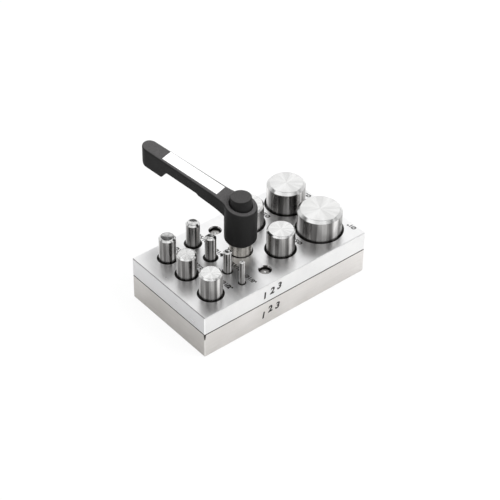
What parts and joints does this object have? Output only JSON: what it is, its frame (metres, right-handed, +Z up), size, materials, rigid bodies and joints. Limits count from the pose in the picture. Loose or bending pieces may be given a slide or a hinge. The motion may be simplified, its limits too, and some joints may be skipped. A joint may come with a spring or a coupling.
{
  "type": "disc cutter",
  "caption": "Bench disc cutter: two ground steel plates with graduated round punches, drawn together by a sloping adjustable clamping lever.",
  "frame": {"origin": "centre of the block's underside, on the surface that it stands on", "axes": "+X along the block's long side, towards the 1 inch punch; +Y from the front long face to the rear, where the lever's arm points; +Z up"},
  "size_m": [0.1142, 0.0953, 0.0733],
  "materials": {
    "lower_steel": "ground, satin",
    "upper_steel": "ground, bright satin",
    "punch_steel": "turned and polished sides, turned ends",
    "pin_steel": "ground",
    "insert_steel": "smooth turned",
    "hardware_steel": "plain turned",
    "spring_steel": "drawn wire",
    "black_casting": "black powder coat, fine satin",
    "button_plastic": "dark grey, satin"
  },
  "bodies": {
    "base": {"lower_plate": "lower_steel", "guide_pin_front": "pin_steel", "guide_pin_rear": "pin_steel", "lift_spring": "spring_steel"},
    "upper": {"upper_plate": "upper_steel", "thrust_washer": "hardware_steel"},
    "clamp": {"clamp_stud": "hardware_steel", "serrated_insert": "insert_steel", "draw_screw": "hardware_steel", "push_button": "button_plastic", "lever_spring": "spring_steel"},
    "lever": {"lever": "black_casting"},
    "punch_1_8": {"punch_1_8_inch": "punch_steel"},
    "punch_3_16": {"punch_3_16_inch": "punch_steel"},
    "punch_1_4": {"punch_1_4_inch": "punch_steel"},
    "punch_5_16": {"punch_5_16_inch": "punch_steel"},
    "punch_3_8": {"punch_3_8_inch": "punch_steel"},
    "punch_7_16": {"punch_7_16_inch": "punch_steel"},
    "punch_1_2": {"punch_1_2_inch": "punch_steel"},
    "punch_5_8": {"punch_5_8_inch": "punch_steel"},
    "punch_3_4": {"punch_3_4_inch": "punch_steel"},
    "punch_7_8": {"punch_7_8_inch": "punch_steel"},
    "punch_1": {"punch_1_inch": "punch_steel"}
  },
  "joints": [
    {"name": "plate_lift", "type": "slide", "parent": "base", "child": "upper", "axis": [0, 0, 1], "range_m": [0, 0.0025], "deforming": ["lift_spring"]},
    {"name": "clamp_turn", "type": "hinge", "parent": "upper", "child": "clamp", "pos_m": [-0.00685, 0, 0.0276], "axis": [0, 0, 1], "range_deg": [0, 720]},
    {"name": "lever_lift", "type": "slide", "parent": "clamp", "child": "lever", "axis": [0, 0, 1], "range_m": [0, 0.0033], "stiffness_N_per_m": 1500, "springref_m": -0.004, "deforming": ["lever_spring"]},
    {"name": "punch_1_8_slide", "type": "slide", "parent": "base", "child": "punch_1_8", "axis": [0, 0, 1], "range_m": [0, 0.035]},
    {"name": "punch_3_16_slide", "type": "slide", "parent": "base", "child": "punch_3_16", "axis": [0, 0, 1], "range_m": [0, 0.035]},
    {"name": "punch_1_4_slide", "type": "slide", "parent": "base", "child": "punch_1_4", "axis": [0, 0, 1], "range_m": [0, 0.035]},
    {"name": "punch_5_16_slide", "type": "slide", "parent": "base", "child": "punch_5_16", "axis": [0, 0, 1], "range_m": [0, 0.035]},
    {"name": "punch_3_8_slide", "type": "slide", "parent": "base", "child": "punch_3_8", "axis": [0, 0, 1], "range_m": [0, 0.035]},
    {"name": "punch_7_16_slide", "type": "slide", "parent": "base", "child": "punch_7_16", "axis": [0, 0, 1], "range_m": [0, 0.035]},
    {"name": "punch_1_2_slide", "type": "slide", "parent": "base", "child": "punch_1_2", "axis": [0, 0, 1], "range_m": [0, 0.035]},
    {"name": "punch_5_8_slide", "type": "slide", "parent": "base", "child": "punch_5_8", "axis": [0, 0, 1], "range_m": [0, 0.035]},
    {"name": "punch_3_4_slide", "type": "slide", "parent": "base", "child": "punch_3_4", "axis": [0, 0, 1], "range_m": [0, 0.035]},
    {"name": "punch_7_8_slide", "type": "slide", "parent": "base", "child": "punch_7_8", "axis": [0, 0, 1], "range_m": [0, 0.035]},
    {"name": "punch_1_slide", "type": "slide", "parent": "base", "child": "punch_1", "axis": [0, 0, 1], "range_m": [0, 0.035]}
  ],
  "couplings": [
    {"joint": "clamp_turn", "follows": "plate_lift", "rad_per_m": 5026.5}
  ]
}
